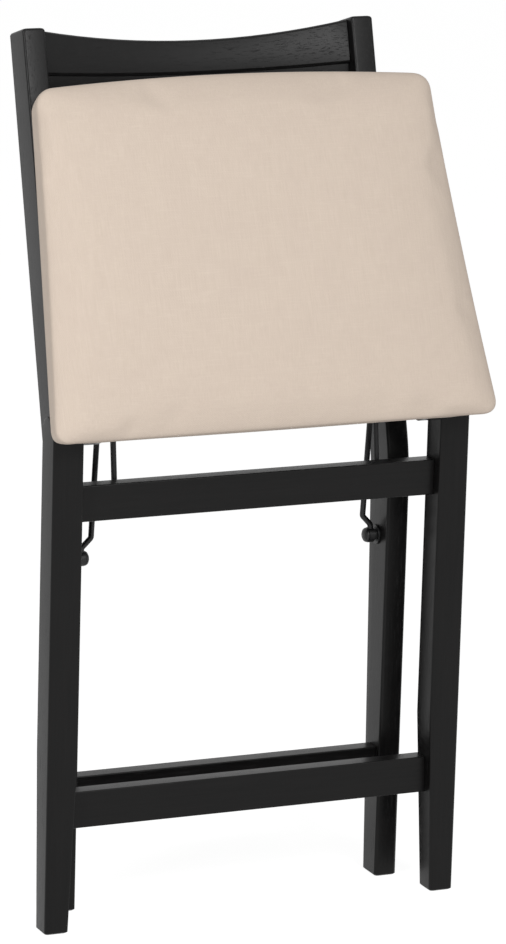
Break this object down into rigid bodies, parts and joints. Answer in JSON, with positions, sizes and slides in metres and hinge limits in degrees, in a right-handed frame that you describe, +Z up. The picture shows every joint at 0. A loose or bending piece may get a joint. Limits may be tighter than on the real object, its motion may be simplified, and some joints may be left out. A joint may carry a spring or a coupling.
{
  "type": "folding bar stool",
  "caption": "Folding counter-height stool with a low back: a padded seat tilts up against the rear frame while the front legs swing in beneath it.",
  "frame": {"origin": "on the floor, at the middle of the folded stool's width and depth", "axes": "+Z up, the seat's padded face and the front legs face -Y, +X is the right side seen from the front"},
  "size_m": [0.5146, 0.29, 0.9532],
  "materials": {
    "lacquered_wood": "charcoal lacquer, satin",
    "seat_fabric": "oatmeal woven linen, matte",
    "plywood": "bare plywood, matte",
    "lining_fabric": "black non-woven dust cloth",
    "black_steel": "black powder coat, semi-gloss"
  },
  "bodies": {
    "rear_frame": {"rear_leg_right": "lacquered_wood", "rear_leg_left": "lacquered_wood", "rear_stretcher": "lacquered_wood", "rear_seat_rail": "lacquered_wood", "crest_rail": "lacquered_wood", "back_slat_upper": "lacquered_wood", "back_slat_lower": "lacquered_wood", "brace_bolt_right": "black_steel", "brace_bolt_left": "black_steel", "brace_washer_right": "black_steel", "brace_washer_left": "black_steel"},
    "braces": {"brace_rod_right": "black_steel", "brace_rod_left": "black_steel"},
    "seat": {"seat_cushion": "seat_fabric", "seat_board": "plywood", "seat_lining": "lining_fabric", "seat_cleat_right": "lacquered_wood", "seat_cleat_left": "lacquered_wood"},
    "front_frame": {"front_leg_right": "lacquered_wood", "front_leg_left": "lacquered_wood", "front_upper_rail": "lacquered_wood", "foot_rail": "lacquered_wood", "hinge_bolt_right": "black_steel", "hinge_bolt_left": "black_steel", "stay_bracket_right": "black_steel", "stay_bracket_left": "black_steel"},
    "stays": {"stay_rod_right": "black_steel", "stay_rod_left": "black_steel"}
  },
  "joints": [
    {"name": "brace_hinge", "type": "hinge", "parent": "rear_frame", "child": "braces", "pos_m": [0, -0.0058, 0.391], "axis": [1, 0, 0], "range_deg": [0, 41.71]},
    {"name": "seat_hinge", "type": "hinge", "parent": "braces", "child": "seat", "pos_m": [0, -0.03502, 0.694], "axis": [1, 0, 0], "range_deg": [-119.71, 0]},
    {"name": "front_leg_hinge", "type": "hinge", "parent": "seat", "child": "front_frame", "pos_m": [0, -0.0828, 0.552], "axis": [1, 0, 0], "range_deg": [0, 51.94]},
    {"name": "stay_hinge", "type": "hinge", "parent": "front_frame", "child": "stays", "pos_m": [0, -0.0563, 0.4675], "axis": [1, 0, 0], "range_deg": [-42.65, 0]}
  ],
  "couplings": [
    {"joint": "brace_hinge", "follows": "seat_hinge", "ratio": -0.34842},
    {"joint": "front_leg_hinge", "follows": "seat_hinge", "ratio": -0.43384},
    {"joint": "stay_hinge", "follows": "seat_hinge", "ratio": 0.3563}
  ]
}
